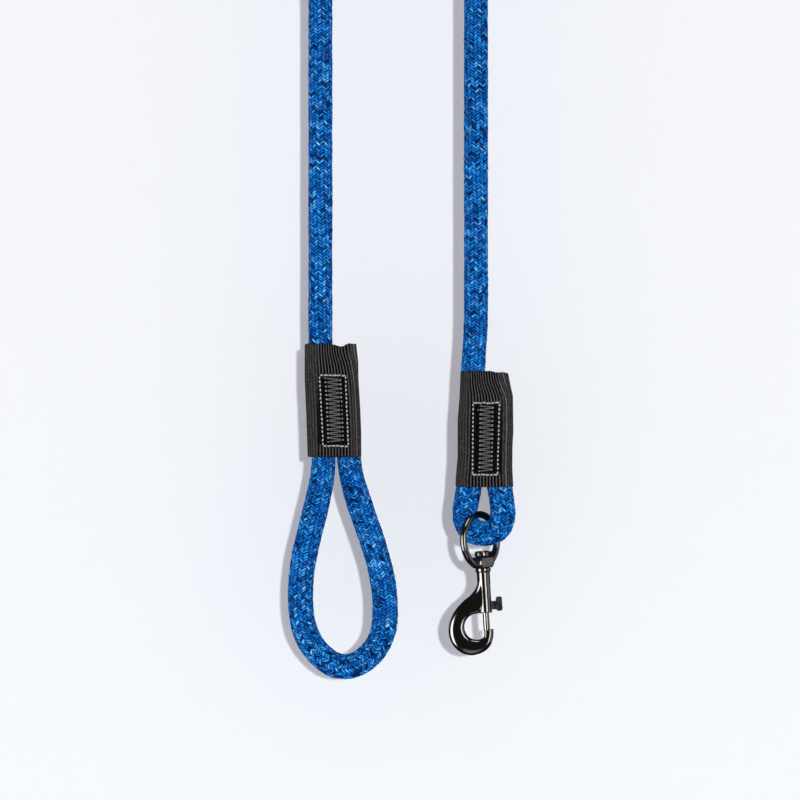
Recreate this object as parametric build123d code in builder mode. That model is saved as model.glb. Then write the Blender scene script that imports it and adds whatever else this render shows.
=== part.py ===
from build123d import *
import math
import os

# Braided-rope dog lead with a hand loop at the left end and a swivel bolt snap at the right,
# hanging from the inside of its top bend.
# Millimetres. Origin: underside of the top bend. X right, Y away, Z up.

# Rope: a braided cover round a core
rope_r = 6.0
cover_wall = 2.0
layer_gap = 0.05
cover_inner_r = rope_r - cover_wall
core_r = cover_inner_r - layer_gap
rope_layers = {                   # outer and inner radius
    "cover": (rope_r, cover_inner_r),
    "core": (core_r, None),
}
strand_x = 38.9                   # the two hanging strands stand at +/- this
bend_z = -(strand_x - rope_r)     # centre of the top bend

# Flex points, each a ball end turning under a cupped end
left_flex_z = -350.0
right_flex_z = -363.0
fold_z = -470.0
flex_gap = 0.05
flex_limit = 60.0                 # widest angle the cup is cut for
cup_r = rope_r + flex_gap
cup_rim_r = rope_r + 1.0          # the cut runs out past the rope's surface

# Webbing sleeves: a stadium tube around two rope legs
sleeve_wall = 1.15
sleeve_gap = 0.05
handle_sleeve_top, handle_sleeve_bottom = -409.65, -466.4
handle_leg_x, handle_tail_x = -38.9, -25.9
handle_tail_top = -420.0
snap_sleeve_top, snap_sleeve_bottom = -423.2, -481.4
snap_leg_x, snap_tail_x = 37.1, 49.8
snap_tail_top = -433.0

# Rope eye that carries the snap
eye_x, eye_z, eye_r = 42.9, -495.3, 9.5
shift_top, shift_bottom = -392, -420   # the strand moves over to the sleeve's leg between these

# Stitching
thread_w, thread_h = 0.5, 0.4
stitch_pitch, stitch_len = 2.05, 1.5
zig_pitch = 2.125
thread_gap = 0.01                 # between the thread and the webbing

# Swivel bolt snap. Heights run along its own leaning axis from snap_origin.
snap_origin = (41.5, 0, -508.3)
snap_lean = 3.6
ring_r, ring_wire_r, ring_twist = 12.9, 1.7, 52.0
ring_groove_gap = 0.1
boss_top, boss_bottom = -8.35, -13.8
boss_long, boss_thick = 9.0, 6.2
boss_corner_r, boss_chamfer = 1.6, 0.7
post_r, post_hole_r, post_bottom = 1.6, 1.7, -19.4
head_r, head_top, head_chamfer = 3.1, -4.9, 0.9
head_bottom = boss_top + 0.08
collar_r, collar_top, collar_bottom = 3.85, boss_bottom - 0.1, -15.6
barrel_r, barrel_bottom = 3.25, -36.3
bore_r, bore_top = 1.7, -19.8
bolt_r, bolt_top, bolt_bottom = 1.62, -29.8, -45.4
bolt_chamfer = 0.3
bolt_travel = 8.0
pocket_gap, pocket_height = 0.1, 2.5
hook_t = 5.4

# Thumb lever, its pin and its slot
lever_t, slot_w, slot_end_gap = 1.7, 1.9, 0.3
arm_top, arm_bottom = -30.6, -34.9
arm_in, arm_out = 1.8, 5.4
arm_overlap = 0.6                 # the arm runs this far into the tab
tab_out, tab_top, tab_bottom = 8.5, -28.6, -35.7
tab_t, tab_corner_r = 4.4, 1.0
pin_r, pin_length, pin_hole_depth = 0.8, 2.4, 3
pin_height = (arm_top + arm_bottom) / 2

# Spring
spring_r, spring_wire_r, spring_turns = 1.25, 0.18, 7
spring_bottom = bolt_top + spring_wire_r + 0.03
spring_height = bore_top - bolt_top - 2 * spring_wire_r - 0.12

os.makedirs("parts", exist_ok=True)


def save(piece, name):
    piece.part.label = name
    export_step(piece.part, f"parts/{name}.step")


# ---------------------------------------------------------------- rope helpers
# A sketch made inside a helper does not join the caller's part, so helpers add it themselves.
def rope_along(path, outer, inner=None):
    """Sweep the rope's round section along each line and arc of the path."""
    for edge in path.edges():
        with BuildSketch(Plane(origin=edge @ 0, z_dir=edge % 0)) as section:
            Circle(outer)
            if inner:
                Circle(inner, mode=Mode.SUBTRACT)
        add(section.sketch)
        sweep(path=edge)


def arc_from(start, direction, end):
    """Circular arc in the XZ plane from start, leaving along direction, to end."""
    chord = end - start
    side = direction - chord.normalized() * direction.dot(chord.normalized())
    half_angle = math.radians(direction.get_angle(chord)) / 2
    rise = chord.length / 2 * math.tan(half_angle)
    ThreePointArc(start, (start + end) * 0.5 + side.normalized() * rise, end)


def biarc(start, start_dir, end, end_dir):
    """Two tangent arcs between (x, z) points, with the given (x, z) directions at the ends."""
    start, end = Vector(start[0], 0, start[1]), Vector(end[0], 0, end[1])
    start_dir = Vector(start_dir[0], 0, start_dir[1]).normalized()
    end_dir = Vector(end_dir[0], 0, end_dir[1]).normalized()
    span, dir_sum = end - start, start_dir + end_dir
    # reach is the equal tangent length at both ends; parallel directions need their own formula
    turn = 2 * (1 - start_dir.dot(end_dir))
    if turn < 1e-9:
        reach = span.dot(span) / (4 * span.dot(end_dir))
    else:
        along = span.dot(dir_sum)
        reach = (-along + math.sqrt(along ** 2 + turn * span.dot(span))) / turn
    start_corner, end_corner = start + start_dir * reach, end - end_dir * reach
    joint = (start_corner + end_corner) * 0.5
    arc_from(start, start_dir, joint)
    arc_from(joint, (end_corner - start_corner).normalized(), end)


# Half section of a cup: its round roof ends at the edge, then it slopes on a tangent to the rim.
limit = math.radians(flex_limit)
cup_edge_x, cup_edge_z = cup_r * math.cos(limit), cup_r * math.sin(limit)
cup_rim_z = cup_edge_z - math.cos(limit) / math.sin(limit) * (cup_rim_r - cup_edge_x)


def cut_cup(x, z):
    """Remove the space a ball end at x, z needs from the part being built."""
    with BuildSketch(Plane(origin=(x, 0, z), x_dir=(1, 0, 0), z_dir=(0, -1, 0))) as space:
        with BuildLine():
            Line((0, 0), (cup_rim_r, 0))
            Line((cup_rim_r, 0), (cup_rim_r, cup_rim_z))
            Line((cup_rim_r, cup_rim_z), (cup_edge_x, cup_edge_z))
            CenterArc((0, 0), cup_r, flex_limit, 90 - flex_limit)
            Line((0, cup_r), (0, 0))
        make_face()
    add(space.sketch)
    revolve(axis=Axis((x, 0, z), (0, 0, 1)), mode=Mode.SUBTRACT)


def ball_end(x, z, outer, inner=None):
    """Half-ball rope end, flat side down, added to the part being built."""
    with BuildSketch(Plane(origin=(x, 0, z), x_dir=(1, 0, 0), z_dir=(0, -1, 0))) as half:
        with BuildLine():
            if inner:
                Line((inner, 0), (outer, 0))
                CenterArc((0, 0), outer, 0, 90)
                Line((0, outer), (0, inner))
                CenterArc((0, 0), inner, 0, 90)
            else:
                Line((0, 0), (outer, 0))
                CenterArc((0, 0), outer, 0, 90)
                Line((0, outer), (0, 0))
        make_face()
    add(half.sketch)
    revolve(axis=Axis((x, 0, z), (0, 0, 1)))


# ---------------------------------------------------------------- rope, top length
with BuildLine(Plane.XZ) as lead_path:
    Line((-strand_x, left_flex_z + cup_rim_z), (-strand_x, bend_z))
    ThreePointArc((-strand_x, bend_z), (0, bend_z + strand_x), (strand_x, bend_z))
    Line((strand_x, bend_z), (strand_x, right_flex_z + cup_rim_z))

for layer, (outer, inner) in rope_layers.items():
    with BuildPart() as lead:
        rope_along(lead_path, outer, inner)
        cut_cup(-strand_x, left_flex_z)
        cut_cup(strand_x, right_flex_z)
    save(lead, f"rope_{layer}_lead")

# ---------------------------------------------------------------- rope, two legs in handle sleeve
handle_leg_end = fold_z + cup_rim_z
handle_legs = [                   # name, x, top, ball end on top
    ("handle", handle_leg_x, left_flex_z, True),
    ("tail", handle_tail_x, handle_tail_top, False),
]
for leg_name, leg_x, leg_top, has_ball in handle_legs:
    for layer, (outer, inner) in rope_layers.items():
        with BuildPart() as leg:
            with BuildSketch(Plane.XY.offset(handle_leg_end)):
                with Locations((leg_x, 0)):
                    Circle(outer)
                    if inner:
                        Circle(inner, mode=Mode.SUBTRACT)
            extrude(amount=leg_top - handle_leg_end)
            if has_ball:
                ball_end(leg_x, leg_top, outer, inner)
            cut_cup(leg_x, fold_z)
        save(leg, f"rope_{layer}_{leg_name}")

# ---------------------------------------------------------------- rope, hand loop
loop_stations = [                 # (x, z) on the centreline, (x, z) direction there
    ((handle_leg_x, fold_z), (0, -1)),
    ((-44.2, -503.5), (-0.24, -1)),
    ((-48.85, -538.0), (0, -1)),
    ((-42.6, -563.0), (0.62, -1)),
    ((-27.2, -571.4), (1, 0)),
    ((-11.6, -561.0), (0.62, 1)),
    ((-6.6, -541.5), (0, 1)),
    ((-13.0, -508.5), (-0.32, 1)),
    ((handle_tail_x, fold_z), (0, 1)),
]
with BuildLine() as loop_path:
    for station, next_station in zip(loop_stations, loop_stations[1:]):
        biarc(*station, *next_station)

for layer, (outer, inner) in rope_layers.items():
    with BuildPart() as loop:
        rope_along(loop_path, outer, inner)
        ball_end(handle_leg_x, fold_z, outer, inner)
        ball_end(handle_tail_x, fold_z, outer, inner)
    save(loop, f"rope_{layer}_loop")

# ---------------------------------------------------------------- the snap's own frame
lean = math.radians(snap_lean)
snap_x = Vector(math.cos(lean), 0, math.sin(lean))
snap_up = Vector(-math.sin(lean), 0, math.cos(lean))
snap_axis = Axis(snap_origin, snap_up)
snap_front = Plane(origin=snap_origin, x_dir=snap_x, z_dir=(0, -1, 0))

# The ring is turned about the snap's axis
twist = math.radians(ring_twist)
ring_x = snap_x * math.cos(twist) + Vector(0, 1, 0) * math.sin(twist)
ring_plane = Plane(origin=snap_origin, x_dir=ring_x, z_dir=ring_x.cross(snap_up))


def across(height):
    """Plane square to the snap's axis at this height along it."""
    return Plane(origin=Vector(*snap_origin) + snap_up * height, x_dir=snap_x, z_dir=snap_up)


def snap_direction(x, z):
    """Direction in the lead's X and Z, turned into the snap_front plane."""
    return (x * math.cos(lean) + z * math.sin(lean), -x * math.sin(lean) + z * math.cos(lean))


def snap_point(x, z):
    """Point in the lead's X and Z, placed in the snap_front plane."""
    return snap_direction(x - snap_origin[0], z - snap_origin[2])


# ---------------------------------------------------------------- rope, snap end with its eye
eye_left, eye_right = eye_x - eye_r, eye_x + eye_r
with BuildLine() as eye_path:
    Line((strand_x, 0, right_flex_z), (strand_x, 0, shift_top))
    biarc((strand_x, shift_top), (0, -1), (snap_leg_x, shift_bottom), (0, -1))
    Line((snap_leg_x, 0, shift_bottom), (snap_leg_x, 0, snap_sleeve_bottom))
    biarc((snap_leg_x, snap_sleeve_bottom), (0, -1), (eye_left, eye_z), (0, -1))
    ThreePointArc((eye_left, 0, eye_z), (eye_x, 0, eye_z - eye_r), (eye_right, 0, eye_z))
    biarc((eye_right, eye_z), (0, 1), (snap_tail_x, snap_sleeve_bottom), (0, 1))
    Line((snap_tail_x, 0, snap_sleeve_bottom), (snap_tail_x, 0, snap_tail_top))

for layer, (outer, inner) in rope_layers.items():
    with BuildPart() as eye:
        rope_along(eye_path, outer, inner)
        ball_end(strand_x, right_flex_z, outer, inner)
        # the ring presses a groove into the soft rope, and slides round in it
        with Locations(ring_plane.location):
            Torus(ring_r, ring_wire_r + ring_groove_gap, mode=Mode.SUBTRACT)
    save(eye, f"rope_{layer}_eye")


# ---------------------------------------------------------------- webbing sleeves
def make_sleeve(name, leg_x, tail_x, top, bottom):
    """Stadium tube around two rope legs."""
    inner_w = 2 * (rope_r + sleeve_gap)
    outer_w = inner_w + 2 * sleeve_wall
    spacing = abs(tail_x - leg_x)
    with BuildPart() as sleeve:
        with BuildSketch(Plane.XY.offset(bottom)):
            with Locations(((leg_x + tail_x) / 2, 0)):
                SlotOverall(spacing + outer_w, outer_w)
                SlotOverall(spacing + inner_w, inner_w, mode=Mode.SUBTRACT)
        extrude(amount=top - bottom, dir=(0, 0, 1))
    save(sleeve, name)


make_sleeve("handle_sleeve", handle_leg_x, handle_tail_x, handle_sleeve_top, handle_sleeve_bottom)
make_sleeve("snap_sleeve", snap_leg_x, snap_tail_x, snap_sleeve_top, snap_sleeve_bottom)


# ---------------------------------------------------------------- stitching
def box_stitches(plane, x0, x1, z0, z1):
    """Row of short lock stitches round a rectangle."""
    rows = int(round((z1 - z0) / stitch_pitch))
    cols = int(round((x1 - x0) / stitch_pitch))
    with BuildSketch(plane) as stitches:
        for x in (x0, x1):
            for i in range(rows):
                with Locations((x, z0 + (i + 0.5) * (z1 - z0) / rows)):
                    SlotOverall(stitch_len, thread_w, rotation=90)
        for z in (z0, z1):
            for i in range(cols):
                with Locations((x0 + (i + 0.5) * (x1 - x0) / cols, z)):
                    SlotOverall(stitch_len, thread_w)
    add(stitches.sketch)


def zigzag(plane, x0, x1, z0, z1):
    """One continuous zigzag row."""
    steps = 2 * int(round((z1 - z0) / zig_pitch))
    points = [(x0 if i % 2 else x1, z0 + i * (z1 - z0) / steps) for i in range(steps + 1)]
    with BuildSketch(plane) as thread_line:
        with BuildLine():
            Polyline(points)
        trace(line_width=thread_w)
    add(thread_line.sketch)


def seen_from_back(x0, x1, z0, z1):
    """The same rectangle on the back plane, whose x runs the other way."""
    return (-x1, -x0, z0, z1)


thread_y = rope_r + sleeve_gap + sleeve_wall + thread_gap
front = Plane(origin=(0, -thread_y, 0), x_dir=(1, 0, 0), z_dir=(0, -1, 0))
back = Plane(origin=(0, thread_y, 0), x_dir=(-1, 0, 0), z_dir=(0, 1, 0))

stitch_areas = [                  # sleeve, then box and zigzag as left, right, bottom, top
    ("handle", (-38.6, -26.2, -461.2, -426.0), (-35.8, -28.6, -459.2, -426.9)),
    ("snap", (37.3, 49.6, -475.4, -439.7), (40.0, 47.2, -472.8, -442.2)),
]
for sleeve_name, box_area, zigzag_area in stitch_areas:
    with BuildPart() as box_stitch:
        box_stitches(front, *box_area)
        extrude(amount=thread_h, dir=(0, -1, 0))
    save(box_stitch, f"{sleeve_name}_box_stitch")

    with BuildPart() as zigzag_stitch:
        zigzag(front, *zigzag_area)
        extrude(amount=thread_h, dir=(0, -1, 0))
    save(zigzag_stitch, f"{sleeve_name}_zigzag_stitch")

    with BuildPart() as back_stitch:
        box_stitches(back, *seen_from_back(*box_area))
        zigzag(back, *seen_from_back(*zigzag_area))
        extrude(amount=thread_h, dir=(0, 1, 0))
    save(back_stitch, f"{sleeve_name}_back_stitch")

# ---------------------------------------------------------------- swivel eye: ring and boss, one casting
boss_plane = Plane(origin=across(boss_bottom).origin, x_dir=ring_x, z_dir=snap_up)
boss_height = boss_top - boss_bottom
with BuildPart() as swivel_eye:
    with BuildSketch(boss_plane):
        RectangleRounded(boss_long, boss_thick, boss_corner_r)
    extrude(amount=boss_height)
    chamfer(swivel_eye.edges().group_by(snap_axis)[-1], boss_chamfer)
    with Locations(ring_plane.location):
        Torus(ring_r, ring_wire_r)
    # trim the ring flush with the boss's underside; the disc only has to cover it
    with BuildSketch(across(boss_bottom)):
        Circle(20)
    extrude(amount=-5, mode=Mode.SUBTRACT)
    # post hole, run 1 mm past both faces of the boss
    with BuildSketch(across(boss_bottom - 1)):
        Circle(post_hole_r)
    extrude(amount=boss_height + 2, mode=Mode.SUBTRACT)
save(swivel_eye, "swivel_eye")

with BuildPart() as swivel_post:
    with BuildSketch(snap_front):
        with BuildLine():
            Polyline(
                (0, post_bottom),
                (post_r, post_bottom),
                (post_r, head_bottom),
                (head_r, head_bottom),
                (head_r, head_top - head_chamfer),
                (head_r - head_chamfer, head_top),
                (0, head_top),
                close=True,
            )
        make_face()
    revolve(axis=snap_axis)
save(swivel_post, "swivel_post")

# ---------------------------------------------------------------- snap body: collar, barrel and hook
# Hook outline as x, z in the lead's frame.
hook_outer = [                    # from the barrel down the left side, round to the tip
    (41.4, -529.15), (39.05, -533.15), (35.9, -536.4), (30.65, -540.65),
    (26.9, -545.65), (25.2, -552.4), (25.9, -558.15), (29.65, -563.15),
    (36.4, -565.85), (43.9, -563.25), (47.05, -558.65), (47.7, -554.65),
]
hook_start_dir = (-0.25, -4.0)
hook_tip = [(47.55, -553.15), (45.9, -553.35), (42.9, -554.45), (42.9, -557.05)]
hook_inner_middle, hook_inner_end = (33.15, -551.4), (42.0, -545.35)
hook_shank = [(43.9, -544.15), (43.9, -529.15)]   # right side, going up into the barrel

slot_top = arm_top + bolt_travel + slot_end_gap
slot_bottom = arm_bottom - slot_end_gap
slot_depth = barrel_r + 2.0       # from the axis out past the barrel
bore_start = barrel_bottom - 3
post_hole_height = 8

with BuildPart() as snap_body:
    with BuildSketch(snap_front):
        with BuildLine():
            outer_curve = Spline(
                [snap_point(*p) for p in hook_outer],
                tangents=[snap_direction(*hook_start_dir), (0, 1)],
            )
            Polyline(outer_curve @ 1, *[snap_point(*p) for p in hook_tip])
            ThreePointArc(
                snap_point(*hook_tip[-1]),
                snap_point(*hook_inner_middle),
                snap_point(*hook_inner_end),
            )
            Polyline(
                snap_point(*hook_inner_end),
                *[snap_point(*p) for p in hook_shank],
                outer_curve @ 0,
            )
        make_face()
    extrude(amount=hook_t / 2, both=True)
    with BuildSketch(across(collar_top)):
        Circle(collar_r)
    extrude(amount=collar_bottom - collar_top)
    with BuildSketch(across(collar_bottom)):
        Circle(barrel_r)
    extrude(amount=barrel_bottom - collar_bottom)
    # pocket in the hook's tip, where the bolt's nose comes to rest
    with BuildSketch(across(bolt_bottom - pocket_gap)):
        Circle(bore_r)
    extrude(amount=pocket_height, mode=Mode.SUBTRACT)
    # bore for the bolt and spring, and the smaller one that holds the post
    with BuildSketch(across(bore_start)):
        Circle(bore_r)
    extrude(amount=bore_top - bore_start, mode=Mode.SUBTRACT)
    with BuildSketch(across(bore_top - 0.5)):
        Circle(post_r)
    extrude(amount=post_hole_height, mode=Mode.SUBTRACT)
    # thumb slot up the right side of the barrel
    with BuildSketch(snap_front):
        with Locations((slot_depth / 2, (slot_top + slot_bottom) / 2)):
            Rectangle(slot_depth, slot_top - slot_bottom)
    extrude(amount=slot_w / 2, both=True, mode=Mode.SUBTRACT)
save(snap_body, "snap_body")

# ---------------------------------------------------------------- spring bolt, thumb lever and spring
pin_plane = Plane(origin=across(pin_height).origin, x_dir=(0, 1, 0), z_dir=snap_x)

with BuildPart() as spring_bolt:
    with BuildSketch(across(bolt_bottom)):
        Circle(bolt_r)
    extrude(amount=bolt_top - bolt_bottom)
    chamfer(spring_bolt.edges().group_by(snap_axis)[0], bolt_chamfer)
    with BuildSketch(pin_plane):
        Circle(pin_r)
    extrude(amount=pin_hole_depth, mode=Mode.SUBTRACT)
save(spring_bolt, "spring_bolt")

arm_end = arm_out + arm_overlap
tab_centre = ((arm_out + tab_out) / 2, (tab_top + tab_bottom) / 2)
tab_width, tab_height = tab_out - arm_out, tab_top - tab_bottom

with BuildPart() as thumb_lever:
    with BuildSketch(snap_front):
        with Locations(((arm_in + arm_end) / 2, pin_height)):
            Rectangle(arm_end - arm_in, arm_top - arm_bottom)
        with Locations(tab_centre):
            RectangleRounded(tab_width, tab_height, tab_corner_r)
    extrude(amount=lever_t / 2, both=True)
    # the tab again, at its full thickness
    with BuildSketch(snap_front):
        with Locations(tab_centre):
            RectangleRounded(tab_width, tab_height, tab_corner_r)
    extrude(amount=tab_t / 2, both=True)
    with BuildSketch(pin_plane):
        Circle(pin_r)
    extrude(amount=pin_length)
save(thumb_lever, "thumb_lever")

with BuildLine() as coil:
    Helix(spring_height / spring_turns, spring_height, spring_r,
          center=across(spring_bottom).origin, direction=snap_up)
coil_wire = coil.wires()[0]
with BuildPart() as bolt_spring:
    with BuildSketch(Plane(origin=coil_wire @ 0, z_dir=coil_wire % 0)):
        Circle(spring_wire_r)
    sweep(path=coil_wire, is_frenet=True)
save(bolt_spring, "bolt_spring")
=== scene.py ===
"""A braided rope lead with a hand loop at one end and a swivel snap at the other.

The lead hangs over a bend at the top, in the XZ plane: X points right, Y away from the
camera and Z up. The left strand (-X) ends in the hand loop, the right strand (+X) in an eye
that holds the snap. Each end is closed by a stitched webbing sleeve.
Lengths are in mm unless a comment says metres. MM turns them into Blender's metres.
"""

import math
from dataclasses import dataclass
from typing import Callable

import bpy
import bmesh
import numpy as np
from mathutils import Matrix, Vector


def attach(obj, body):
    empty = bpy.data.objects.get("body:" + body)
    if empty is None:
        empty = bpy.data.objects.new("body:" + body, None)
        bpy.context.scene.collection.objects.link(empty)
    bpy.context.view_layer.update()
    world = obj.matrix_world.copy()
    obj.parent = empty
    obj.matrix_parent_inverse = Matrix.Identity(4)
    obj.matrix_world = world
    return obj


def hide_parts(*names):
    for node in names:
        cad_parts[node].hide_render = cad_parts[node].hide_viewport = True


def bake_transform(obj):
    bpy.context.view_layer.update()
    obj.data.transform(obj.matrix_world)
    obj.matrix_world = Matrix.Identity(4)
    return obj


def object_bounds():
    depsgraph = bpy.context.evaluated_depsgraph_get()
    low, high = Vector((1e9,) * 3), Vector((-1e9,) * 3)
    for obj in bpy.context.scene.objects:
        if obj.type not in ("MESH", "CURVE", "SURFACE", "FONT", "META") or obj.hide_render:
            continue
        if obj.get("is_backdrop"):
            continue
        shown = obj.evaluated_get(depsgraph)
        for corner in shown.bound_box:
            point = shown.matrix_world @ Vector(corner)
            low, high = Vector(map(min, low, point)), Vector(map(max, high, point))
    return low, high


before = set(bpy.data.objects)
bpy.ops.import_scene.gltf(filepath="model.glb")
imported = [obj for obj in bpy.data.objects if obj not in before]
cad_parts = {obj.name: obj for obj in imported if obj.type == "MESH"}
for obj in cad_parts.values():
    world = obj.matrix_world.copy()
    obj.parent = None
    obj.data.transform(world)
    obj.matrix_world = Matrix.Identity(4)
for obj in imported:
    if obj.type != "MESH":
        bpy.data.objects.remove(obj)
cad_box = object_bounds()
MM = 0.001
rng = np.random.default_rng(7)      # unevenness of the stitches


# =====================================================================
# small tools
# =====================================================================
def smooth01(value):
    """Smooth step from 0 to 1, flat outside that range."""
    value = np.clip(value, 0, 1)
    return value * value * (3 - 2 * value)


def circle(count):
    """Even angles round a full turn."""
    return np.linspace(0, 2 * math.pi, count, endpoint=False)


def normalised(rows):
    """Each row scaled to unit length."""
    return rows / np.linalg.norm(rows, axis=1)[:, None]


def path_length(points):
    """Length run along a polyline at each of its points."""
    return np.r_[0, np.cumsum(np.linalg.norm(np.diff(points, axis=0), axis=1))]


def set_material(ob, material):
    ob.data.materials.clear()
    ob.data.materials.append(material)


def link_object(name, mesh):
    ob = bpy.data.objects.new(name, mesh)
    bpy.context.scene.collection.objects.link(ob)
    return ob


def make_smooth(mesh):
    mesh.polygons.foreach_set("use_smooth", np.ones(len(mesh.polygons), bool))


def add_attribute(mesh, name, domain, values):
    attribute = mesh.attributes.new(name, "FLOAT", domain)
    attribute.data.foreach_set("value", np.asarray(values).ravel().astype(np.float32))


def weld(mesh):
    """Merges vertices that share a place."""
    bm = bmesh.new()
    bm.from_mesh(mesh)
    bmesh.ops.remove_doubles(bm, verts=bm.verts, dist=1e-6)
    bm.to_mesh(mesh)
    bm.free()


def mesh_object(name, verts, faces, material, welded=False):
    """Smooth object from vertices in mm, with its faces turned outward."""
    mesh = bpy.data.meshes.new(name)
    mesh.from_pydata((np.array(verts) * MM).tolist(), [], faces)
    mesh.update()
    if welded:
        weld(mesh)
    bm = bmesh.new()
    bm.from_mesh(mesh)
    bmesh.ops.recalc_face_normals(bm, faces=bm.faces)
    bm.to_mesh(mesh)
    bm.free()
    make_smooth(mesh)
    ob = link_object(name, mesh)
    set_material(ob, material)
    return ob


# =====================================================================
# shader tools
# =====================================================================
def add_node(tree, kind, inputs=None, **settings):
    """New shader node; each input is either a value or a socket to link from."""
    node = tree.nodes.new("ShaderNode" + kind)
    for key, value in settings.items():
        setattr(node, key, value)
    for key, value in (inputs or {}).items():
        if isinstance(value, bpy.types.NodeSocket):
            tree.links.new(value, node.inputs[key])
        else:
            node.inputs[key].default_value = value
    return node


def calculate(tree, operation, *operands):
    node = add_node(tree, "Math", dict(enumerate(operands)), operation=operation)
    return node.outputs[0]


def read_attribute(tree, name):
    return add_node(tree, "Attribute", attribute_name=name).outputs["Fac"]


def object_coords(tree):
    return add_node(tree, "TexCoord").outputs["Object"]


def noise(tree, coords, scale, detail=2):
    inputs = {"Vector": coords, "Scale": scale, "Detail": detail}
    return add_node(tree, "TexNoise", inputs).outputs["Fac"]


def colour_ramp(tree, factor, stops):
    """Colour looked up from (position, colour) stops."""
    node = add_node(tree, "ValToRGB", {"Fac": factor})
    elements = node.color_ramp.elements
    while len(elements) > 1:
        elements.remove(elements[0])
    elements[0].position = stops[0][0]
    elements[0].color = (*stops[0][1], 1)
    for position, colour in stops[1:]:
        elements.new(position).color = (*colour, 1)
    return node.outputs["Color"]


def multiply_colours(tree, first, second):
    node = add_node(tree, "Mix", data_type="RGBA", blend_type="MULTIPLY",
                    inputs={0: 1.0, 6: first, 7: second})
    return node.outputs[2]


def add_bump(tree, surface, height, strength, distance):
    """Fine relief on a surface; distance is in metres."""
    node = add_node(tree, "Bump", {"Strength": strength, "Distance": distance, "Height": height})
    tree.links.new(node.outputs["Normal"], surface.inputs["Normal"])


def new_material(name):
    material = bpy.data.materials.new(name)
    material.use_nodes = True
    tree = material.node_tree
    return material, tree, tree.nodes["Principled BSDF"]


def finish_surface(tree, surface, roughness, specular, colour):
    if isinstance(colour, bpy.types.NodeSocket):
        tree.links.new(colour, surface.inputs["Base Color"])
    else:
        surface.inputs["Base Color"].default_value = colour
    surface.inputs["Roughness"].default_value = roughness
    surface.inputs["Specular IOR Level"].default_value = specular


# =====================================================================
# materials
# =====================================================================
# yarn colour, from the darkest ply to the palest
YARN_STOPS = [
    (0.0, (0.0020, 0.012, 0.050)), (0.14, (0.0030, 0.030, 0.125)),
    (0.26, (0.0030, 0.082, 0.330)), (0.46, (0.0045, 0.150, 0.535)),
    (0.64, (0.0090, 0.218, 0.720)), (0.78, (0.0220, 0.315, 0.840)),
    (0.90, (0.085, 0.460, 0.910)), (1.0, (0.20, 0.58, 0.93))]
VIOLET_YARN = (0.050, 0.070, 0.26, 1)
# multiplier on the yarn colour: painted shade in the grooves, up to a painted highlight on the
# proudest floats
FLOAT_SHADE_AND_HIGHLIGHT_STOPS = [
    (0.0, (0.06, 0.07, 0.10)), (0.36, (0.32, 0.35, 0.42)),
    (0.66, (1.02, 1.04, 1.06)), (0.9, (1.66, 1.70, 1.62))]
# webbing, from painted shade between the ribs to painted highlights on their crests
WEBBING_SHADE_AND_HIGHLIGHT_STOPS = [
    (0.0, (0.0006, 0.0006, 0.0006)), (0.36, (0.0022, 0.0022, 0.0022)),
    (0.62, (0.0190, 0.0188, 0.0188)), (0.80, (0.0580, 0.0570, 0.0570)),
    (1.0, (0.1350, 0.1330, 0.1330))]
# multiplier across the twist of the thread: painted shade in its grooves, painted highlight on
# its crowns
TWIST_SHADE_AND_HIGHLIGHT_STOPS = [(0.0, (0.55, 0.55, 0.55)), (0.6, (1.0, 1.0, 0.98)), (1.0, (1.25, 1.25, 1.22))]


def rope_material():
    material, tree, surface = new_material("heathered_braid")
    shade = read_attribute(tree, "shade")
    tint = read_attribute(tree, "tint")
    depth = read_attribute(tree, "depth")
    coords = object_coords(tree)
    # colour of a ply, nudged evenly up and down by fine fibre noise
    fibre_range = 0.34
    fibres = noise(tree, coords, scale=1500, detail=3)
    raised = calculate(tree, "MULTIPLY_ADD", fibres, fibre_range, shade)
    centred = calculate(tree, "SUBTRACT", raised, fibre_range / 2)
    yarn = colour_ramp(tree, centred, YARN_STOPS)
    # a few plies lean violet-grey
    is_violet = calculate(tree, "GREATER_THAN", tint, 0.93)
    violet_share = calculate(tree, "MULTIPLY", is_violet, 0.45)
    tinted = add_node(tree, "Mix", {0: violet_share, 6: yarn, 7: VIOLET_YARN}, data_type="RGBA")
    # painted shade darkens the grooves between floats and a painted highlight lifts the proudest
    # ones
    float_shade_and_highlight = colour_ramp(tree, depth, FLOAT_SHADE_AND_HIGHLIGHT_STOPS)
    finish_surface(tree, surface, roughness=0.75, specular=0.04,
                   colour=multiply_colours(tree, tinted.outputs[2], float_shade_and_highlight))
    fuzz = noise(tree, coords, scale=4200)
    add_bump(tree, surface, fuzz, strength=0.35, distance=0.00012)
    return material


def webbing_material():
    material, tree, surface = new_material("ribbed_webbing")
    rib = read_attribute(tree, "rib")
    weft = read_attribute(tree, "weft")
    coords = object_coords(tree)
    # rib colour, mottled by noise around its mean
    mottle = noise(tree, coords, scale=1100, detail=4)
    mottled = add_node(tree, "Math", {0: mottle, 1: 0.62}, operation="MULTIPLY_ADD")
    lowered_rib = calculate(tree, "SUBTRACT", rib, 0.30)
    tree.links.new(lowered_rib, mottled.inputs[2])
    finish_surface(tree, surface, roughness=0.7, specular=0.05,
                   colour=colour_ramp(tree, mottled.outputs[0], WEBBING_SHADE_AND_HIGHLIGHT_STOPS))
    # fine weft picks across each rib
    picks = calculate(tree, "SINE", weft)
    fuzz = noise(tree, coords, scale=3000)
    height = calculate(tree, "MULTIPLY_ADD", fuzz, 1.2, picks)
    add_bump(tree, surface, height, strength=0.5, distance=0.00007)
    return material


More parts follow.
